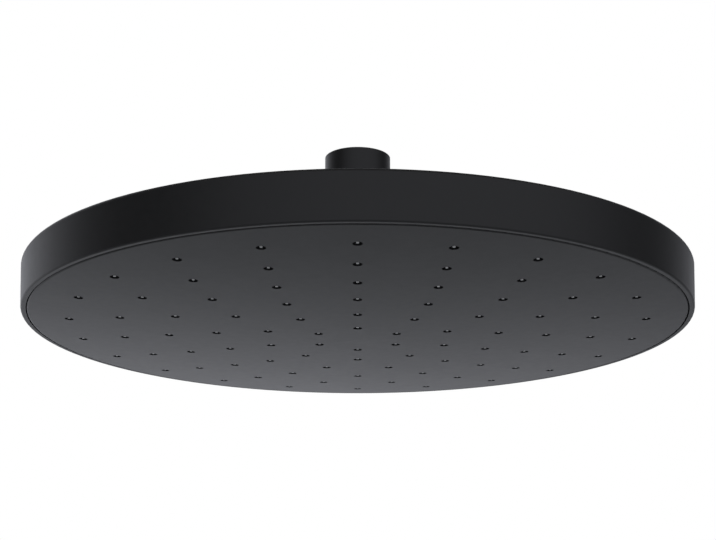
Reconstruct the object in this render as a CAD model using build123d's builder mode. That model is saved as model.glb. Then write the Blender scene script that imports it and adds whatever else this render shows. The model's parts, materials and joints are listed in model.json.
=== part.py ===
from build123d import *
from math import acos, asin, cos, degrees, radians, sin, sqrt
import os

# Rain shower head of 250 mm with a crowned spray face, a water chamber behind it and a ball joint at the inlet.
# Lengths are in millimetres. The origin is the middle of the inlet's mouth, +Z points up along the inlet, and
# the spray face looks down.

# Rim and back of the shell
head_radius = 125.0
rim_height = 16.95
rim_flare = 0.8
rim_wall = 1.9
shell_wall = 2.2
back_crown = 4.8
hub_land_radius = 24.0
lip_fillet = 0.7
shoulder_fillet = 1.35
rim_rib_width = 1.8
rim_rib_reach = 5.0

# Spray face
face_gap = 0.35
face_proud = 0.33
face_crown = 5.3
face_wall = 2.4
face_edge_fillet = 0.12
nozzle_counts = (6, 10, 13, 16, 19, 22)
first_ring_radius = 16.8
last_ring_margin = 7.6
nozzle_hole_radius = 1.65
near_side_angle = -90.0

# Silicone nozzle mat
mat_wall = 1.5
mat_seat_gap = 0.05
mat_edge_gap = 0.15
mat_bead_width = 2.6
mat_bead_rise = 1.4
nozzle_root_radius = 1.3
nozzle_root_height = 0.25
nozzle_tip_radius = 0.45
nozzle_tip_length = 0.7
nozzle_recess = 0.24
orifice_radius = 0.3

# Water chamber and its screws
chamber_depth = 7.0
chamber_wall = 2.2
cover_wall = 2.4
cover_edge_gap = 0.5
cover_rib_count = 10
cover_rib_width = 2.0
cover_rib_headroom = 2.6
cover_rib_margin = 3.0
screw_count = 8
screw_inset = 3.3
screw_radius = 1.4
screw_fit = 0.05
screw_head_radius = 2.6
screw_head_height = 2.0
screw_slot_width = 0.8
screw_slot_depth = 0.9
screw_grip = 4.0
screw_end_gap = 0.4
boss_wall = 1.5
boss_overlap = 0.8

# Ball joint
ball_radius = 11.0
ball_clearance = 0.15
ball_ring_wall = 1.4
ball_ring_half_angle = 9.0
tilt_limit = 15.0
pocket_margin_angle = 2.0
lip_clearance = 0.3
neck_radius = 6.5
neck_rise = 13.0
neck_fillet = 1.0
neck_margin_angle = 2.0
water_radius = 4.5
seal_section = 1.5
seal_angle = 45.0
seal_fit = 0.03
seal_lip_gap = 0.25

# Socket, its tail and the collar nut
socket_floor = 2.3
socket_thread_radius = 15.4
thread_clearance = 0.1
flange_radius = 19.5
flange_height = 3.0
flange_fillet = 0.5
tail_radius = 9.8
tail_hole_gap = 0.5
channel_radius = 5.5
socket_washer_height = 1.0
socket_washer_margin = 1.0
tail_oring_section = 0.9
hub_wall = 5.6
hub_ledge_height = 2.0
hub_ledge_width = 2.9
collar_wall = 2.2
collar_fillet = 0.5
collar_gap = 0.3
collar_shoulder = 5.0
collar_lip_height = 1.4
collar_mouth_flare = 1.0
collar_top_width = 3.4
flute_count = 12
flute_radius = 2.4
flute_depth = 0.6

# Inlet sleeve with a half-inch pipe thread, drawn plain at the thread's major radius
sleeve_radius = 12.7
sleeve_length = 18.75
sleeve_chamfer = 0.1
sleeve_foot_chamfer = 0.5
thread_radius = 10.48
thread_minor_radius = 9.32
thread_depth = 10.5
inlet_washer_height = 2.0
inlet_washer_gap = 0.12
inlet_washer_bore = 6.2
screen_height = 0.4
screen_gap = 0.3
regulator_radius = 6.85
regulator_height = 3.6
regulator_gap = 0.35
regulator_oring_section = 0.8
regulator_hole_count = 6
regulator_hole_radius = 0.9
regulator_hole_circle = 3.1
regulator_pin_radius = 1.3
regulator_pin_height = 1.0

# Heights, built up from the lip of the rim to the inlet's mouth
seal_reach = ball_radius + ball_clearance + seal_section
seal_ring_radius = seal_reach * sin(radians(seal_angle))
seal_drop = seal_reach * cos(radians(seal_angle))
seat_drop = seal_drop + seal_section + seal_fit
joint_height = socket_washer_height + socket_floor + seat_drop + neck_rise
lip_z = -(rim_height + back_crown + joint_height + sleeve_length)
rim_top_z = lip_z + rim_height
face_edge_z = lip_z - face_proud
face_bottom_z = face_edge_z - face_crown
hub_top_z = rim_top_z + back_crown
flange_z = hub_top_z + socket_washer_height
flange_top_z = flange_z + flange_height
seat_floor_z = flange_z + socket_floor
ball_z = seat_floor_z + seat_drop
sleeve_z = ball_z + neck_rise
cover_z = lip_z + chamber_depth
cover_top_z = cover_z + cover_wall
hub_ledge_z = cover_z + hub_ledge_height
tail_z = hub_ledge_z + 2 * tail_oring_section
screen_z = -(thread_depth + inlet_washer_height + screen_height)
regulator_z = screen_z - regulator_height

# Radii, from the rim inwards
shoulder_radius = head_radius + rim_flare
rim_inner_radius = head_radius - rim_wall
face_radius = rim_inner_radius - face_gap
cover_radius = face_radius - cover_edge_gap
screw_circle = face_radius - screw_inset
screw_hole_radius = screw_radius + screw_fit
boss_radius = screw_hole_radius + boss_wall
chamber_outer_radius = screw_circle - boss_radius + boss_overlap
chamber_radius = chamber_outer_radius - chamber_wall
mat_radius = chamber_radius - mat_edge_gap
bead_inner_radius = mat_radius - mat_bead_width
last_ring_radius = chamber_radius - last_ring_margin
ring_pitch = (last_ring_radius - first_ring_radius) / (len(nozzle_counts) - 1)
nozzle_rings = [(count, first_ring_radius + ring_pitch * step) for step, count in enumerate(nozzle_counts)]
hub_bore_radius = tail_radius + thread_clearance
hub_radius = hub_bore_radius + hub_wall
hub_ledge_radius = hub_bore_radius - hub_ledge_width
tail_hole_radius = tail_radius + tail_hole_gap
collar_bore_radius = socket_thread_radius + thread_clearance
collar_radius = collar_bore_radius + collar_wall
regulator_pocket_radius = regulator_radius + regulator_gap

# Spheres round the ball's middle, and the angles from straight up at which they start and end
ring_inner_radius = ball_radius + ball_clearance
ring_outer_radius = ring_inner_radius + ball_ring_wall
pocket_radius = ring_outer_radius + ball_clearance
lip_radius = ball_radius + lip_clearance
neck_angle = degrees(asin(neck_radius / ball_radius))
mouth_angle = neck_angle + tilt_limit + neck_margin_angle
pocket_half_angle = ball_ring_half_angle + tilt_limit + pocket_margin_angle
seal_groove_top_z = ball_z - seal_drop + seal_section + seal_lip_gap
seal_groove_angle = degrees(acos((seal_groove_top_z - ball_z) / lip_radius))
seal_groove_radius = seal_ring_radius + seal_section + seal_fit

# Crowned surfaces: the face and the back are parts of two wide spheres
face_sphere_radius = (face_radius**2 + face_crown**2) / (2 * face_crown)
face_center_z = face_bottom_z + face_sphere_radius
back_run = shoulder_radius**2 - hub_land_radius**2
back_center_drop = (back_run - back_crown**2) / (2 * back_crown)
back_sphere_radius = sqrt(shoulder_radius**2 + back_center_drop**2)
back_center_z = rim_top_z - back_center_drop


def face_height(radius, lift):
    """Height of the crowned face at a radius, lift above its outer skin."""
    return face_center_z - sqrt((face_sphere_radius - lift) ** 2 - radius**2)


def face_arc(inner, outer, lift):
    """Three points of the crowned face's section, from one radius to another."""
    stations = (inner, (inner + outer) / 2, outer)
    return [(radius, face_height(radius, lift)) for radius in stations]


def back_height(radius, depth):
    """Height of the shell's crowned back at a radius, depth below its outer skin."""
    return back_center_z + sqrt((back_sphere_radius - depth) ** 2 - radius**2)


def back_arc(inner, outer, depth):
    """Three points of the shell's back in section, from one radius to another."""
    stations = (inner, (inner + outer) / 2, outer)
    return [(radius, back_height(radius, depth)) for radius in stations]


def ball_point(radius, angle):
    """Point of a sphere's section round the ball's middle, at an angle from straight up."""
    return (radius * sin(radians(angle)), ball_z + radius * cos(radians(angle)))


def ball_arc(radius, first_angle, last_angle):
    """Three points of a sphere's section round the ball's middle."""
    angles = (first_angle, (first_angle + last_angle) / 2, last_angle)
    return [ball_point(radius, angle) for angle in angles]


def save(builder, name):
    """Label a finished piece and write it under the same name."""
    builder.part.label = name
    export_step(builder.part, f"parts/{name}.step")


STANDING = (Align.CENTER, Align.CENTER, Align.MIN)
os.makedirs("parts", exist_ok=True)

# Shell: rim, shoulder and crowned back in one moulding, with ribs that stand on the cover's edge
inner_corner_radius = rim_inner_radius + rim_flare * (rim_height - shell_wall) / rim_height
hub_land_under_z = back_height(hub_land_radius, shell_wall)
rim_rib_top_z = back_height(shoulder_radius, shell_wall / 2)
with BuildPart() as body_shell:
    with BuildSketch(Plane.XZ) as shell_section:
        with BuildLine():
            ThreePointArc(*back_arc(hub_land_radius, inner_corner_radius, shell_wall))
            Polyline(
                (inner_corner_radius, back_height(inner_corner_radius, shell_wall)),
                (rim_inner_radius, lip_z),
                (head_radius, lip_z),
                (shoulder_radius, rim_top_z),
            )
            ThreePointArc(*back_arc(hub_land_radius, shoulder_radius, 0))
            Polyline(
                (hub_land_radius, hub_top_z),
                (tail_hole_radius, hub_top_z),
                (tail_hole_radius, hub_land_under_z),
                (hub_land_radius, hub_land_under_z),
            )
        make_face()
        fillet(shell_section.vertices().sort_by_distance((head_radius, lip_z))[0], lip_fillet)
        fillet(shell_section.vertices().sort_by_distance((shoulder_radius, rim_top_z))[0], shoulder_fillet)
    revolve(axis=Axis.Z)
    with BuildSketch(Plane.XY.offset(cover_top_z)):
        with PolarLocations(rim_inner_radius - rim_rib_reach, screw_count, start_angle=180 / screw_count):
            Rectangle(rim_rib_reach + rim_wall / 2, rim_rib_width, align=(Align.MIN, Align.CENTER))
    extrude(amount=rim_rib_top_z - cover_top_z)
save(body_shell, "body_shell")

# Spray face: crowned plate with the nozzle holes, and behind it the chamber's wall and the screw bosses
with BuildPart() as face_plate:
    with BuildSketch(Plane.XZ) as face_section:
        with BuildLine():
            ThreePointArc(*face_arc(0, face_radius, 0))
            Line((face_radius, face_edge_z), (face_radius, face_height(face_radius, face_wall)))
            ThreePointArc(*face_arc(chamber_outer_radius, face_radius, face_wall))
            Polyline(
                (chamber_outer_radius, face_height(chamber_outer_radius, face_wall)),
                (chamber_outer_radius, cover_z),
                (chamber_radius, cover_z),
                (chamber_radius, face_height(chamber_radius, face_wall)),
            )
            ThreePointArc(*face_arc(0, chamber_radius, face_wall))
            Line((0, face_height(0, face_wall)), (0, face_height(0, 0)))
        make_face()
        fillet(face_section.vertices().sort_by_distance((face_radius, face_edge_z))[0], face_edge_fillet)
    revolve(axis=Axis.Z)
    with BuildSketch(Plane.XY.offset(cover_z)):
        with PolarLocations(screw_circle, screw_count):
            Circle(boss_radius)
    extrude(amount=face_height(screw_circle, face_wall / 2) - cover_z)
    with BuildSketch(Plane.XY.offset(cover_z)):
        with PolarLocations(screw_circle, screw_count):
            Circle(screw_hole_radius)
    extrude(amount=-screw_grip - screw_end_gap, mode=Mode.SUBTRACT)
    with BuildSketch(Plane.XY.offset(face_bottom_z)):
        for count, ring_radius in nozzle_rings:
            with PolarLocations(ring_radius, count, start_angle=near_side_angle):
                Circle(nozzle_hole_radius)
    extrude(amount=cover_z - face_bottom_z, mode=Mode.SUBTRACT)
save(face_plate, "face_plate")

# Nozzle mat: a crowned sheet on the back of the face, a sealing bead round its edge, and nozzles with tapered roots
mat_lift = face_wall + mat_seat_gap
mat_top_lift = mat_lift + mat_wall
bead_top_z = face_height(mat_radius, mat_top_lift) + mat_bead_rise
with BuildPart() as nozzle_mat:
    with BuildSketch(Plane.XZ):
        with BuildLine():
            ThreePointArc(*face_arc(0, mat_radius, mat_lift))
            Polyline(
                (mat_radius, face_height(mat_radius, mat_lift)),
                (mat_radius, bead_top_z),
                (bead_inner_radius, bead_top_z),
                (bead_inner_radius, face_height(bead_inner_radius, mat_top_lift)),
            )
            ThreePointArc(*face_arc(0, bead_inner_radius, mat_top_lift))
            Line((0, face_height(0, mat_top_lift)), (0, face_height(0, mat_lift)))
        make_face()
    revolve(axis=Axis.Z)
    for count, ring_radius in nozzle_rings:
        tip_z = face_height(ring_radius, nozzle_recess)
        taper_z = tip_z + nozzle_tip_length
        root_z = face_height(ring_radius, mat_lift) - nozzle_root_height
        with Locations((0, 0, root_z)):
            with PolarLocations(ring_radius, count, start_angle=near_side_angle):
                Cylinder(nozzle_root_radius, nozzle_root_height + mat_wall / 2, align=STANDING)
        with Locations((0, 0, taper_z)):
            with PolarLocations(ring_radius, count, start_angle=near_side_angle):
                Cone(nozzle_tip_radius, nozzle_root_radius, root_z - taper_z, align=STANDING)
        with Locations((0, 0, tip_z)):
            with PolarLocations(ring_radius, count, start_angle=near_side_angle):
                Cylinder(nozzle_tip_radius, nozzle_tip_length, align=STANDING)
    with BuildSketch(Plane.XY.offset(face_bottom_z)):
        for count, ring_radius in nozzle_rings:
            with PolarLocations(ring_radius, count, start_angle=near_side_angle):
                Circle(orifice_radius)
    extrude(amount=cover_z - face_bottom_z, mode=Mode.SUBTRACT)
save(nozzle_mat, "nozzle_mat")

# Chamber cover: flat lid with a ring that presses the mat's bead, ribs, screw holes and the threaded hub
rib_start_radius = (hub_radius + hub_bore_radius) / 2
rib_end_radius = chamber_radius - cover_rib_margin
rib_top_z = back_height(rib_end_radius, shell_wall) - cover_rib_headroom
with BuildPart() as chamber_cover:
    with BuildSketch(Plane.XZ):
        with BuildLine():
            Polyline(
                (hub_ledge_radius, cover_z),
                (bead_inner_radius, cover_z),
                (bead_inner_radius, bead_top_z),
                (mat_radius, bead_top_z),
                (mat_radius, cover_z),
                (cover_radius, cover_z),
                (cover_radius, cover_top_z),
                (hub_radius, cover_top_z),
                (hub_radius, hub_land_under_z),
                (hub_bore_radius, hub_land_under_z),
                (hub_bore_radius, hub_ledge_z),
                (hub_ledge_radius, hub_ledge_z),
                close=True,
            )
        make_face()
    revolve(axis=Axis.Z)
    with BuildSketch(Plane.XY.offset(cover_top_z)):
        with PolarLocations(rib_start_radius, cover_rib_count):
            Rectangle(rib_end_radius - rib_start_radius, cover_rib_width, align=(Align.MIN, Align.CENTER))
    extrude(amount=rib_top_z - cover_top_z)
    with BuildSketch(Plane.XY.offset(cover_z)):
        with PolarLocations(screw_circle, screw_count):
            Circle(screw_hole_radius)
    extrude(amount=cover_wall, mode=Mode.SUBTRACT)
save(chamber_cover, "chamber_cover")

# Screws: pan heads on the cover, shanks in the bosses of the face
with BuildPart() as face_screws:
    with BuildSketch(Plane.XY.offset(cover_top_z)):
        with PolarLocations(screw_circle, screw_count):
            Circle(screw_head_radius)
    extrude(amount=screw_head_height)
    with BuildSketch(Plane.XY.offset(cover_top_z)):
        with PolarLocations(screw_circle, screw_count):
            Circle(screw_radius)
    extrude(amount=-cover_wall - screw_grip)
    with BuildSketch(Plane.XY.offset(cover_top_z + screw_head_height)):
        with PolarLocations(screw_circle, screw_count):
            Rectangle(2 * screw_head_radius, screw_slot_width)
    extrude(amount=-screw_slot_depth, mode=Mode.SUBTRACT)
save(face_screws, "face_screws")

# Socket: cup for the ball and its seal, flange on the shell, and a tail that screws into the cover's hub
with BuildPart() as socket_body:
    with BuildSketch(Plane.XZ) as socket_section:
        with BuildLine():
            Polyline(
                (pocket_radius, ball_z),
                (socket_thread_radius, ball_z),
                (socket_thread_radius, flange_top_z),
                (flange_radius, flange_top_z),
                (flange_radius, flange_z),
                (tail_radius, flange_z),
                (tail_radius, tail_z),
                (channel_radius, tail_z),
                (channel_radius, seat_floor_z),
                (seal_groove_radius, seat_floor_z),
                (seal_groove_radius, seal_groove_top_z),
                ball_point(lip_radius, seal_groove_angle),
            )
            ThreePointArc(*ball_arc(lip_radius, seal_groove_angle, 90 + pocket_half_angle))
            Line(
                ball_point(lip_radius, 90 + pocket_half_angle),
                ball_point(pocket_radius, 90 + pocket_half_angle),
            )
            ThreePointArc(*ball_arc(pocket_radius, 90 + pocket_half_angle, 90))
        make_face()
        fillet(socket_section.vertices().sort_by_distance((flange_radius, flange_top_z))[0], flange_fillet)
        fillet(socket_section.vertices().sort_by_distance((flange_radius, flange_z))[0], flange_fillet)
    revolve(axis=Axis.Z)
save(socket_body, "socket_body")

# Washer between the socket's flange and the shell
with BuildPart() as socket_washer:
    with BuildSketch(Plane.XY.offset(hub_top_z)):
        Circle(flange_radius - socket_washer_margin)
        Circle(tail_hole_radius, mode=Mode.SUBTRACT)
    extrude(amount=socket_washer_height)
save(socket_washer, "socket_washer")

# Ring that seals the socket's tail against the hub's ledge
with BuildPart() as tail_oring:
    with Locations((0, 0, hub_ledge_z + tail_oring_section)):
        Torus(hub_bore_radius - thread_clearance - tail_oring_section, tail_oring_section)
save(tail_oring, "tail_oring")

# Ring under the ball, in the socket's groove
with BuildPart() as ball_seal:
    with Locations((0, 0, ball_z - seal_drop)):
        Torus(seal_ring_radius, seal_section)
save(ball_seal, "ball_seal")

# Slip ring round the ball's equator
first_ring_angle = 90 - ball_ring_half_angle
last_ring_angle = 90 + ball_ring_half_angle
with BuildPart() as ball_ring:
    with BuildSketch(Plane.XZ):
        with BuildLine():
            ThreePointArc(*ball_arc(ring_inner_radius, first_ring_angle, last_ring_angle))
            Line(ball_point(ring_inner_radius, last_ring_angle), ball_point(ring_outer_radius, last_ring_angle))
            ThreePointArc(*ball_arc(ring_outer_radius, last_ring_angle, first_ring_angle))
            Line(ball_point(ring_outer_radius, first_ring_angle), ball_point(ring_inner_radius, first_ring_angle))
        make_face()
    revolve(axis=Axis.Z)
save(ball_ring, "ball_ring")

# Collar nut: screws onto the socket, closes over the ball, and has shallow finger flutes
collar_z = flange_top_z + collar_gap
mouth_radius, mouth_z = ball_point(lip_radius, mouth_angle)
collar_top_z = mouth_z + collar_lip_height
collar_top_radius = mouth_radius + collar_mouth_flare + collar_top_width
collar_corners = (
    (collar_top_radius, collar_top_z),
    (collar_radius, ball_z + collar_shoulder),
    (collar_radius, collar_z),
)
with BuildPart() as collar_nut:
    with BuildSketch(Plane.XZ) as collar_section:
        with BuildLine():
            ThreePointArc(*ball_arc(pocket_radius, 90, 90 - pocket_half_angle))
            Line(
                ball_point(pocket_radius, 90 - pocket_half_angle),
                ball_point(lip_radius, 90 - pocket_half_angle),
            )
            ThreePointArc(*ball_arc(lip_radius, 90 - pocket_half_angle, mouth_angle))
            Polyline(
                (mouth_radius, mouth_z),
                (mouth_radius + collar_mouth_flare, collar_top_z),
                *collar_corners,
                (collar_bore_radius, collar_z),
                (collar_bore_radius, ball_z),
                (pocket_radius, ball_z),
            )
        make_face()
        for corner in collar_corners:
            fillet(collar_section.vertices().sort_by_distance(corner)[0], collar_fillet)
    revolve(axis=Axis.Z)
    with BuildSketch(Plane.XY.offset(collar_z)):
        with PolarLocations(collar_radius + flute_radius - flute_depth, flute_count):
            Circle(flute_radius)
    extrude(amount=collar_top_z - collar_z, mode=Mode.SUBTRACT)
save(collar_nut, "collar_nut")

# Inlet: threaded sleeve, neck and ball turned in one piece, bored through for the water
ball_bottom_angle = 180 - degrees(asin(water_radius / ball_radius))
with BuildPart() as ball_inlet:
    with BuildSketch(Plane.XZ) as inlet_section:
        with BuildLine():
            Polyline(
                ball_point(ball_radius, ball_bottom_angle),
                (water_radius, regulator_z),
                (regulator_pocket_radius, regulator_z),
                (regulator_pocket_radius, screen_z),
                (thread_minor_radius, screen_z),
                (thread_minor_radius, -thread_depth),
                (thread_radius, -thread_depth),
                (thread_radius, 0),
                (sleeve_radius - sleeve_chamfer, 0),
                (sleeve_radius, -sleeve_chamfer),
                (sleeve_radius, sleeve_z + sleeve_foot_chamfer),
                (sleeve_radius - sleeve_foot_chamfer, sleeve_z),
                (neck_radius, sleeve_z),
                ball_point(ball_radius, neck_angle),
            )
            ThreePointArc(*ball_arc(ball_radius, neck_angle, ball_bottom_angle))
        make_face()
        fillet(inlet_section.vertices().sort_by_distance((neck_radius, sleeve_z))[0], neck_fillet)
    revolve(axis=Axis.Z)
save(ball_inlet, "ball_inlet")

# Flow insert below the screen, with a groove for its ring, water holes and a metering pin
oring_ring_radius = regulator_pocket_radius - seal_fit - regulator_oring_section
oring_z = regulator_z + regulator_height / 2
groove_half_height = regulator_oring_section + seal_fit
groove_radius = oring_ring_radius - groove_half_height
with BuildPart() as flow_regulator:
    with BuildSketch(Plane.XZ):
        with BuildLine():
            Polyline(
                (0, regulator_z - regulator_pin_height),
                (regulator_pin_radius, regulator_z - regulator_pin_height),
                (regulator_pin_radius, regulator_z),
                (regulator_radius, regulator_z),
                (regulator_radius, oring_z - groove_half_height),
                (groove_radius, oring_z - groove_half_height),
                (groove_radius, oring_z + groove_half_height),
                (regulator_radius, oring_z + groove_half_height),
                (regulator_radius, screen_z),
                (0, screen_z),
                close=True,
            )
        make_face()
    revolve(axis=Axis.Z)
    with BuildSketch(Plane.XY.offset(regulator_z)):
        with PolarLocations(regulator_hole_circle, regulator_hole_count):
            Circle(regulator_hole_radius)
    extrude(amount=regulator_height, mode=Mode.SUBTRACT)
save(flow_regulator, "flow_regulator")

# Ring round the flow insert
with BuildPart() as regulator_oring:
    with Locations((0, 0, oring_z)):
        Torus(oring_ring_radius, regulator_oring_section)
save(regulator_oring, "regulator_oring")

# Wire screen on the shoulder below the thread, as a thin disc
with BuildPart() as filter_screen:
    with BuildSketch(Plane.XY.offset(screen_z)):
        Circle(thread_minor_radius - screen_gap)
    extrude(amount=screen_height)
save(filter_screen, "filter_screen")

# Flat washer on the screen, for the end of the shower arm
with BuildPart() as inlet_washer:
    with BuildSketch(Plane.XY.offset(screen_z + screen_height)):
        Circle(thread_minor_radius - inlet_washer_gap)
        Circle(inlet_washer_bore, mode=Mode.SUBTRACT)
    extrude(amount=inlet_washer_height)
save(inlet_washer, "inlet_washer")
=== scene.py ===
import json
import math

import bmesh
import bpy
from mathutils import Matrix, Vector


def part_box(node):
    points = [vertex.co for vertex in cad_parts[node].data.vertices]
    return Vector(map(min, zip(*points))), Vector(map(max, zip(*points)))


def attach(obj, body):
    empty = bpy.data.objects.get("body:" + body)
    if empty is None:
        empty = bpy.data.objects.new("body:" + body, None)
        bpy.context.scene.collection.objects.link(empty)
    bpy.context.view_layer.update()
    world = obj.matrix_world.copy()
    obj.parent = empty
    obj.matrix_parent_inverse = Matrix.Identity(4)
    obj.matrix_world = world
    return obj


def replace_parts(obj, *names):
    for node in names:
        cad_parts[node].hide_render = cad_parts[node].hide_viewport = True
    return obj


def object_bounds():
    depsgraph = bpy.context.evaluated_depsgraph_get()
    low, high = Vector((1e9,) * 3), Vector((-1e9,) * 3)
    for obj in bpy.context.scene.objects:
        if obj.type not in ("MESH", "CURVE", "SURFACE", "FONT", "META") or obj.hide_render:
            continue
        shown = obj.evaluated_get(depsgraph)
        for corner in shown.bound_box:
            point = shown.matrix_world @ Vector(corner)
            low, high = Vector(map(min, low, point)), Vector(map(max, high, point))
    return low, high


# Rain shower head: finishes, soft edge of the face, inlet thread, wire screen, studio and camera.
# Lengths are in metres.

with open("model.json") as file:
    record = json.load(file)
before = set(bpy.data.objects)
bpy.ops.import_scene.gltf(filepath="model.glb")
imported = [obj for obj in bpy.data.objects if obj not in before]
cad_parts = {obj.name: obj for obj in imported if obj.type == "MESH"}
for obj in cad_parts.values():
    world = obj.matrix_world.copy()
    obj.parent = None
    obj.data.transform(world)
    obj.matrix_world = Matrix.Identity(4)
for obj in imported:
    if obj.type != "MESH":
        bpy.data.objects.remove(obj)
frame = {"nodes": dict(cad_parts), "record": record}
cad_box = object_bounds()
nodes = frame["nodes"]
scene = bpy.context.scene
scene.view_settings.view_transform = "Standard"

MM = 0.001


# Node helpers

# Part of a noise's range that is stretched over a finish
noise_low = 0.3
noise_high = 0.7


def new_material(name):
    """A node material, returned with its node tree and its main shader."""
    material = bpy.data.materials.new(name)
    material.use_nodes = True
    tree = material.node_tree
    shader = tree.nodes["Principled BSDF"]
    return material, tree, shader


def surface_noise(tree, patch, detail=2.0):
    """Noise fixed to the piece, with patches of about a size in metres."""
    place = tree.nodes.new("ShaderNodeTexCoord")
    noise = tree.nodes.new("ShaderNodeTexNoise")
    noise.inputs["Scale"].default_value = 1.0 / patch
    noise.inputs["Detail"].default_value = detail
    tree.links.new(place.outputs["Object"], noise.inputs["Vector"])
    return noise.outputs["Fac"]


def spread(tree, factor, low, high):
    """Stretch the middle of a noise to a range of values."""
    ranged = tree.nodes.new("ShaderNodeMapRange")
    ranged.inputs["From Min"].default_value = noise_low
    ranged.inputs["From Max"].default_value = noise_high
    ranged.inputs["To Min"].default_value = low
    ranged.inputs["To Max"].default_value = high
    tree.links.new(factor, ranged.inputs["Value"])
    return ranged.outputs["Result"]


def tint(tree, factor, dark, light):
    """Blend two colours by a noise."""
    ramp = tree.nodes.new("ShaderNodeValToRGB")
    ramp.color_ramp.elements[0].position = noise_low
    ramp.color_ramp.elements[0].color = (*dark, 1.0)
    ramp.color_ramp.elements[1].position = noise_high
    ramp.color_ramp.elements[1].color = (*light, 1.0)
    tree.links.new(factor, ramp.inputs["Fac"])
    return ramp.outputs["Color"]


def grain_bump(tree, shader, factor, height):
    """Raise a noise by a height in metres as a bump."""
    bump = tree.nodes.new("ShaderNodeBump")
    bump.inputs["Strength"].default_value = 1.0
    bump.inputs["Distance"].default_value = height
    tree.links.new(factor, bump.inputs["Height"])
    tree.links.new(bump.outputs["Normal"], shader.inputs["Normal"])


# Finishes, one for each material slot of the record

finishes = {}


def add_finish(slot, dark, light, rough, specular, patch, grain, grain_height, metallic=0.0):
    """Keep a surface with soft patches of colour and gloss and a fine grain for a slot."""
    material, tree, shader = new_material(slot)
    patches = surface_noise(tree, patch)
    grains = surface_noise(tree, grain, detail=3.0)
    tree.links.new(tint(tree, patches, dark, light), shader.inputs["Base Color"])
    tree.links.new(spread(tree, patches, *rough), shader.inputs["Roughness"])
    shader.inputs["Specular IOR Level"].default_value = specular
    shader.inputs["Metallic"].default_value = metallic
    grain_bump(tree, shader, grains, grain_height)
    finishes[slot] = material


def grey(value):
    """A colour without a tint."""
    return (value, value, value)


add_finish(
    "shell_plastic", dark=(0.0070, 0.0070, 0.0073), light=(0.0080, 0.0080, 0.0083), rough=(0.44, 0.46),
    specular=0.3, patch=3 * MM, grain=0.35 * MM, grain_height=0.003 * MM)
add_finish(
    "face_plastic", dark=(0.0070, 0.0070, 0.0074), light=(0.0080, 0.0080, 0.0085), rough=(0.41, 0.43),
    specular=0.225, patch=3 * MM, grain=0.4 * MM, grain_height=0.003 * MM)
add_finish(
    "inner_plastic", dark=grey(0.016), light=grey(0.020), rough=(0.50, 0.60),
    specular=0.4, patch=8 * MM, grain=0.5 * MM, grain_height=0.006 * MM)
add_finish(
    "nozzle_silicone", dark=grey(0.70), light=grey(0.76), rough=(0.50, 0.60),
    specular=0.35, patch=3 * MM, grain=0.2 * MM, grain_height=0.002 * MM)
add_finish(
    "black_metal", dark=(0.0070, 0.0070, 0.0073), light=(0.0080, 0.0080, 0.0083), rough=(0.42, 0.44),
    specular=0.3, patch=3 * MM, grain=0.8 * MM, grain_height=0.003 * MM)
add_finish(
    "slip_plastic", dark=(0.66, 0.65, 0.62), light=(0.74, 0.73, 0.70), rough=(0.40, 0.50),
    specular=0.5, patch=4 * MM, grain=0.3 * MM, grain_height=0.002 * MM)
add_finish(
    "regulator_plastic", dark=(0.54, 0.57, 0.57), light=(0.62, 0.64, 0.64), rough=(0.35, 0.45),
    specular=0.5, patch=3 * MM, grain=0.3 * MM, grain_height=0.002 * MM)
add_finish(
    "seal_rubber", dark=grey(0.012), light=grey(0.018), rough=(0.55, 0.70),
    specular=0.4, patch=2 * MM, grain=0.15 * MM, grain_height=0.004 * MM)
add_finish(
    "steel", dark=(0.50, 0.50, 0.49), light=(0.60, 0.60, 0.59), rough=(0.22, 0.32),
    specular=0.5, patch=1.5 * MM, grain=0.1 * MM, grain_height=0.001 * MM, metallic=1.0)

for row in frame["record"]["subparts"]:
    node = nodes[row["node"]]
    node.data.materials.clear()
    node.data.materials.append(finishes[row["material_slot"]])


# Pieces that the solids leave plain

def add_piece(name, mesh, body, slot):
    """Link a finished mesh as a piece that rides on a body."""
    piece = bpy.data.objects.new(name, mesh)
    scene.collection.objects.link(piece)
    mesh.materials.append(finishes[slot])
    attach(piece, body)
    return piece


def skin_tube(bm, rings, closed):
    """Join rings of vertices to a tube, and close its two ends if it is open."""
    count = len(rings)
    sides = len(rings[0])
    for i in range(count if closed else count - 1):
        first = rings[i]
        second = rings[(i + 1) % count]
        for k in range(sides):
            bm.faces.new((first[k], first[(k + 1) % sides], second[(k + 1) % sides], second[k]))
    if not closed:
        bm.faces.new(rings[0][::-1])
        bm.faces.new(rings[-1])


def finish_mesh(name, bm, smooth_angle):
    """Turn a bmesh into a mesh with outward faces and edges kept sharp above an angle in degrees."""
    bmesh.ops.recalc_face_normals(bm, faces=bm.faces)
    mesh = bpy.data.meshes.new(name)
    bm.to_mesh(mesh)
    bm.free()
    mesh.shade_smooth()
    mesh.set_sharp_from_angle(angle=math.radians(smooth_angle))
    return mesh


# Spray face with the soft, slightly drawn-in edge of a moulding, in place of its solid with a crisp edge

face_low, face_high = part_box("face_plate")
face_radius = face_high.x
face_crown = 5.3 * MM
crisp_round = 0.12 * MM
soft_round = 0.7 * MM
edge_lift = 0.15 * MM
lift_width = 12 * MM
match_margin = 0.01 * MM
face_sphere_radius = (face_radius**2 + face_crown**2) / (2 * face_crown)
face_sphere_z = face_low.z + face_sphere_radius


def edge_center(radius):
    """Middle of an edge round in section: its distance from the axis and its height."""
    distance = face_radius - radius
    return distance, face_sphere_z - math.sqrt((face_sphere_radius - radius) ** 2 - distance**2)


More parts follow.
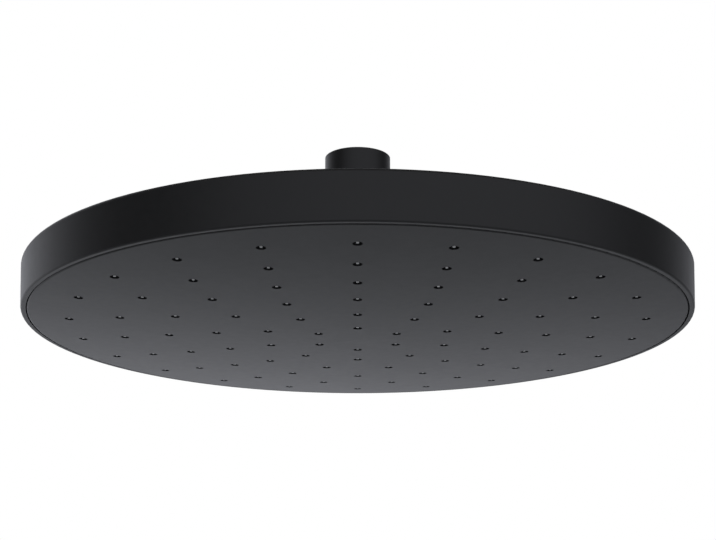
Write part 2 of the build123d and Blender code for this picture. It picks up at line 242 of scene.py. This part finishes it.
def soft_face():
    """Copy of the face's mesh with its edge round widened and its outer part drawn in, shaded as before."""
    crisp_out, crisp_z = edge_center(crisp_round)
    soft_out, soft_z = edge_center(soft_round)
    mesh = nodes["face_plate"].data.copy()
    mesh.name = "spray_face"
    normals = [corner.vector.copy() for corner in mesh.corner_normals]
    for vertex in mesh.vertices:
        x, y, z = vertex.co
        distance = math.hypot(x, y)
        on_edge = abs(math.hypot(distance - crisp_out, crisp_z - z) - crisp_round) < match_margin
        on_skin = abs(math.hypot(distance, face_sphere_z - z) - face_sphere_radius) < match_margin
        if on_edge:
            slope = math.atan2(distance - crisp_out, crisp_z - z)
            stretch = (soft_out + soft_round * math.sin(slope)) / distance
            vertex.co = (x * stretch, y * stretch, soft_z + edge_lift - soft_round * math.cos(slope))
        elif on_skin:
            rise = max(0.0, 1.0 - (soft_out - distance) / lift_width)
            vertex.co.z = z + edge_lift * rise**2
    mesh.normals_split_custom_set(normals)
    mesh.materials.clear()
    return mesh


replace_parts(add_piece("spray_face", soft_face(), "head", "face_plastic"), "face_plate")


# Female pipe thread: one helical ridge on the bore's wall

thread = next(mount for mount in frame["record"]["mounts"] if mount["name"] == "inlet_thread")
thread_radius = thread["dims"]["r_mm"] * MM
thread_depth = thread["dims"]["length_mm"] * MM
thread_pitch = 1.814 * MM
thread_crest = 1.162 * MM
thread_start = 0.5 * MM
thread_sink = 0.05 * MM
thread_steps = 72
run_in_steps = 24
least_crest = 0.08
thread_smooth = 50

# Heights of the ridge's root and shoulder, as shares of its crest, and where they lie, as shares of the pitch
root_height = 0.12
shoulder_height = 0.9
foot_place = 0.46
root_place = 0.42
shoulder_place = 0.11
crest_place = 0.06


def thread_ridge():
    """One helical ridge that rises and falls at its two ends."""
    turns = (thread_depth - 2 * thread_start) / thread_pitch - 1
    step_count = int(turns * thread_steps)
    bm = bmesh.new()
    rings = []
    for i in range(step_count + 1):
        angle = math.tau * i / thread_steps
        run_in = min(1.0, i / run_in_steps, (step_count - i) / run_in_steps)
        crest = thread_crest * max(run_in, least_crest)
        middle_z = -thread_start - thread_pitch / 2 - thread_pitch * i / thread_steps
        upper = (
            (thread_radius + thread_sink, foot_place),
            (thread_radius - root_height * crest, root_place),
            (thread_radius - shoulder_height * crest, shoulder_place),
            (thread_radius - crest, crest_place),
        )
        lower = tuple((radius, -place) for radius, place in reversed(upper))
        ring = []
        for radius, place in upper + lower:
            point = (radius * math.cos(angle), radius * math.sin(angle), middle_z + place * thread_pitch)
            ring.append(bm.verts.new(point))
        rings.append(ring)
    skin_tube(bm, rings, closed=False)
    return finish_mesh("inlet_thread_ridge", bm, thread_smooth)


add_piece("inlet_thread_ridge", thread_ridge(), "inlet", "black_metal")


# Woven wire screen in place of its plain disc, with a rolled edge

screen_low, screen_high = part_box("filter_screen")
screen_radius = screen_high.x
screen_z = (screen_low.z + screen_high.z) / 2
wire_radius = (screen_high.z - screen_low.z) / 4
wire_pitch = 0.9 * MM
wire_sides = 6
wire_points_per_pitch = 4
edge_radius = 2 * wire_radius
edge_sides = 10
edge_steps = 64
weave_radius = screen_radius - edge_radius
screen_smooth = 60


def add_wire(bm, lane, direction):
    """One wavy wire of the weave, along X for direction 0 and along Y for direction 1."""
    offset = lane * wire_pitch
    half = math.sqrt(weave_radius**2 - offset**2)
    count = max(2, int(2 * half / wire_pitch * wire_points_per_pitch))
    phase = math.pi * (lane + direction)
    rings = []
    for i in range(count + 1):
        along = -half + 2 * half * i / count
        wave = wire_radius * math.cos(math.pi * along / wire_pitch + phase)
        ring = []
        for k in range(wire_sides):
            turn = math.tau * k / wire_sides
            across = offset + wire_radius * math.cos(turn)
            z = screen_z + wave + wire_radius * math.sin(turn)
            ring.append(bm.verts.new((along, across, z) if direction == 0 else (across, along, z)))
        rings.append(ring)
    skin_tube(bm, rings, closed=False)


def add_screen_edge(bm):
    """The round bead that holds the ends of the wires."""
    rings = []
    for i in range(edge_steps):
        angle = math.tau * i / edge_steps
        ring = []
        for k in range(edge_sides):
            turn = math.tau * k / edge_sides
            radius = weave_radius + edge_radius * math.cos(turn)
            z = screen_z + edge_radius * math.sin(turn)
            ring.append(bm.verts.new((radius * math.cos(angle), radius * math.sin(angle), z)))
        rings.append(ring)
    skin_tube(bm, rings, closed=True)


def woven_screen():
    """Two crossing sets of wires and the bead round them."""
    bm = bmesh.new()
    lanes = int(weave_radius / wire_pitch)
    for direction in (0, 1):
        for lane in range(-lanes, lanes + 1):
            add_wire(bm, lane, direction)
    add_screen_edge(bm)
    return finish_mesh("wire_screen", bm, screen_smooth)


screen = add_piece("wire_screen", woven_screen(), "inlet", "steel")
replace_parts(screen, "filter_screen")


# Studio: white surroundings, a pale floor far below, and soft lamps

round_segments = 96


def larger(tree, first, second):
    """The larger one of two values."""
    maximum = tree.nodes.new("ShaderNodeMath")
    maximum.operation = "MAXIMUM"
    tree.links.new(first, maximum.inputs[0])
    tree.links.new(second, maximum.inputs[1])
    return maximum.outputs["Value"]


def seen_directly(tree):
    """1 for rays from the camera, from gloss and through glass, otherwise 0."""
    rays = tree.nodes.new("ShaderNodeLightPath").outputs
    camera_or_gloss = larger(tree, rays["Is Camera Ray"], rays["Is Glossy Ray"])
    return larger(tree, camera_or_gloss, rays["Is Transmission Ray"])


def mix_surface(tree, output, share, first, second):
    """Give an output node a blend of two shaders, by the share of the second."""
    mix = tree.nodes.new("ShaderNodeMixShader")
    tree.links.new(share, mix.inputs["Fac"])
    tree.links.new(first, mix.inputs[1])
    tree.links.new(second, mix.inputs[2])
    tree.links.new(mix.outputs["Shader"], tree.nodes[output].inputs["Surface"])


ambient_color = (0.95, 0.97, 1.0, 1.0)
ambient_strength = 0.5
white_color = (1.0, 1.0, 1.0, 1.0)


def set_world():
    """Surroundings that look white and give a softer light."""
    world = bpy.data.worlds.new("studio")
    world.use_nodes = True
    scene.world = world
    tree = world.node_tree
    ambient = tree.nodes["Background"]
    ambient.inputs["Color"].default_value = ambient_color
    ambient.inputs["Strength"].default_value = ambient_strength
    white = tree.nodes.new("ShaderNodeBackground")
    white.inputs["Color"].default_value = white_color
    white.inputs["Strength"].default_value = 1.0
    ambient_light = ambient.outputs["Background"]
    white_light = white.outputs["Background"]
    mix_surface(tree, "World Output", seen_directly(tree), ambient_light, white_light)


set_world()

floor_drop = 1.3
floor_radius = 5.0
floor_fade = 0.4
floor_dark = (0.47, 0.48, 0.50)
floor_light = (0.51, 0.52, 0.54)
floor_patch = 1 / 3
floor_roughness = 0.9
floor_specular = 0.1


def edge_fade(tree):
    """0 on the floor's inner part and 1 at its edge for the camera, and 0 for all other rays."""
    place = tree.nodes.new("ShaderNodeTexCoord")
    distance = tree.nodes.new("ShaderNodeVectorMath")
    distance.operation = "LENGTH"
    fade = tree.nodes.new("ShaderNodeMapRange")
    fade.interpolation_type = "SMOOTHSTEP"
    fade.inputs["From Min"].default_value = floor_fade * floor_radius
    fade.inputs["From Max"].default_value = floor_radius
    rays = tree.nodes.new("ShaderNodeLightPath")
    share = tree.nodes.new("ShaderNodeMath")
    share.operation = "MULTIPLY"
    tree.links.new(place.outputs["Object"], distance.inputs[0])
    tree.links.new(distance.outputs["Value"], fade.inputs["Value"])
    tree.links.new(fade.outputs["Result"], share.inputs[0])
    tree.links.new(rays.outputs["Is Camera Ray"], share.inputs[1])
    return share.outputs["Value"]


def add_floor():
    """A pale round floor that fades into the surroundings."""
    bpy.ops.mesh.primitive_circle_add(
        vertices=round_segments, radius=floor_radius, fill_type="NGON", location=(0, 0, -floor_drop))
    floor = bpy.context.object
    floor.name = "floor"
    material, tree, shader = new_material("floor")
    color = tint(tree, surface_noise(tree, floor_patch), floor_dark, floor_light)
    tree.links.new(color, shader.inputs["Base Color"])
    shader.inputs["Roughness"].default_value = floor_roughness
    shader.inputs["Specular IOR Level"].default_value = floor_specular
    clear = tree.nodes.new("ShaderNodeBsdfTransparent")
    mix_surface(tree, "Material Output", edge_fade(tree), shader.outputs["BSDF"], clear.outputs["BSDF"])
    floor.data.materials.append(material)


add_floor()


def add_lamp(name, place, target, size, power, color):
    """A square soft lamp that faces a point and doesn't show in gloss."""
    light = bpy.data.lights.new(name, "AREA")
    light.shape = "SQUARE"
    light.size = size
    light.energy = power
    light.color = color
    lamp = bpy.data.objects.new(name, light)
    lamp.location = place
    lamp.rotation_euler = (Vector(target) - Vector(place)).to_track_quat("-Z", "Y").to_euler()
    lamp.visible_glossy = False
    scene.collection.objects.link(lamp)


head_center = (0.0, 0.0, (cad_box[0].z + cad_box[1].z) / 2)
add_lamp("key", (-0.6, -0.5, 1.9), head_center, size=1.2, power=40, color=(1.0, 0.99, 0.97))
add_lamp("rear", (0.5, 0.8, 1.9), head_center, size=1.4, power=25, color=(1.0, 1.0, 1.0))


# Tones of the studio round the head, as its gloss shows them, above and below the height of the split.
# Each stop gives the degrees from behind, round by the left, and the brightness there.

high_tones = (
    (0, 1.0), (12, 1.0), (27, 1.22), (42, 1.1), (55, 0.95), (66, 0.70), (77, 0.26), (87, 0.09), (98, 0.03),
    (122, 0.03), (138, 0.63), (160, 0.86), (180, 0.95), (230, 0.95), (245, 0.85), (262, 0.45), (277, 0.04),
    (292, 0.04), (303, 0.24), (320, 0.58), (333, 0.74), (343, 0.55), (350, 0.60), (357, 1.0),
)
low_tones = (
    (0, 1.09), (30, 1.16), (55, 1.20), (70, 0.92), (84, 0.40), (98, 0.03), (122, 0.03), (138, 0.55),
    (160, 0.86), (180, 0.95), (230, 0.95), (245, 0.85), (262, 0.45), (277, 0.05), (292, 0.05), (305, 0.16),
    (320, 0.30), (335, 0.50), (350, 0.94),
)
split_low = -0.25
split_high = 0.10
studio_tint = (0.975, 0.992, 1.07)
studio_radius = 2.0
studio_low = -0.7
studio_high = 2.0
ceiling_tone = 0.08
behind_turn = math.radians(90.0)


def gloss_only(name, bm, height, material):
    """Link a card at a height that shows in gloss alone."""
    bmesh.ops.translate(bm, verts=bm.verts, vec=(0.0, 0.0, height))
    mesh = bpy.data.meshes.new(name)
    bm.to_mesh(mesh)
    bm.free()
    mesh.materials.append(material)
    card = bpy.data.objects.new(name, mesh)
    card.visible_camera = False
    card.visible_diffuse = False
    card.visible_transmission = False
    card.visible_shadow = False
    scene.collection.objects.link(card)


def glow_material(name):
    """A plain glow, returned with its shader."""
    material, tree, shader = new_material(name)
    tree.nodes.remove(shader)
    glow = tree.nodes.new("ShaderNodeEmission")
    tree.links.new(glow.outputs["Emission"], tree.nodes["Material Output"].inputs["Surface"])
    return material, glow


def tone_ramp(tree, around, tones):
    """Brightness of the studio round its wall."""
    ramp = tree.nodes.new("ShaderNodeValToRGB")
    stops = ramp.color_ramp.elements
    while len(stops) < len(tones):
        stops.new(1.0)
    for stop, (degrees, tone) in zip(stops, tones):
        stop.position = degrees / 360.0
        stop.color = (*(tone * part for part in studio_tint), 1.0)
    tree.links.new(around, ramp.inputs["Fac"])
    return ramp.outputs["Color"]


def add_studio_wall():
    """A round wall with the tones of the studio."""
    material, glow = glow_material("studio_wall")
    tree = material.node_tree
    place = tree.nodes.new("ShaderNodeTexCoord")
    turn = tree.nodes.new("ShaderNodeMapping")
    turn.inputs["Rotation"].default_value = (0.0, 0.0, behind_turn)
    around = tree.nodes.new("ShaderNodeTexGradient")
    around.gradient_type = "RADIAL"
    tree.links.new(place.outputs["Object"], turn.inputs["Vector"])
    tree.links.new(turn.outputs["Vector"], around.inputs["Vector"])
    height = tree.nodes.new("ShaderNodeSeparateXYZ")
    tree.links.new(place.outputs["Object"], height.inputs["Vector"])
    upward = tree.nodes.new("ShaderNodeMapRange")
    upward.inputs["From Min"].default_value = split_low
    upward.inputs["From Max"].default_value = split_high
    tree.links.new(height.outputs["Z"], upward.inputs["Value"])
    blend = tree.nodes.new("ShaderNodeMixRGB")
    tree.links.new(upward.outputs["Result"], blend.inputs["Fac"])
    tree.links.new(tone_ramp(tree, around.outputs["Fac"], low_tones), blend.inputs["Color1"])
    tree.links.new(tone_ramp(tree, around.outputs["Fac"], high_tones), blend.inputs["Color2"])
    tree.links.new(blend.outputs["Color"], glow.inputs["Color"])
    bm = bmesh.new()
    bmesh.ops.create_cone(
        bm, segments=round_segments, radius1=studio_radius, radius2=studio_radius,
        depth=studio_high - studio_low)
    gloss_only("studio_wall", bm, (studio_high + studio_low) / 2, material)


def add_studio_ceiling():
    """A dark ceiling on the wall."""
    material, glow = glow_material("studio_ceiling")
    glow.inputs["Color"].default_value = (*grey(ceiling_tone), 1.0)
    bm = bmesh.new()
    bmesh.ops.create_circle(bm, cap_ends=True, segments=round_segments, radius=studio_radius)
    gloss_only("studio_ceiling", bm, studio_high, material)


add_studio_wall()
add_studio_ceiling()


# Camera below the head, looking up under its near edge

image_width = 716
focal_pixels = 1531.7
sensor_width = 36.0
camera_place = (0.00014, -0.5619, -0.21206)
camera_pitch = 16.512
camera_data = bpy.data.cameras.new("camera")
camera_data.sensor_width = sensor_width
camera_data.lens = sensor_width * focal_pixels / image_width
camera = bpy.data.objects.new("camera", camera_data)
camera.location = camera_place
camera.rotation_euler = (math.radians(90.0 + camera_pitch), 0.0, 0.0)
scene.collection.objects.link(camera)
scene.camera = camera
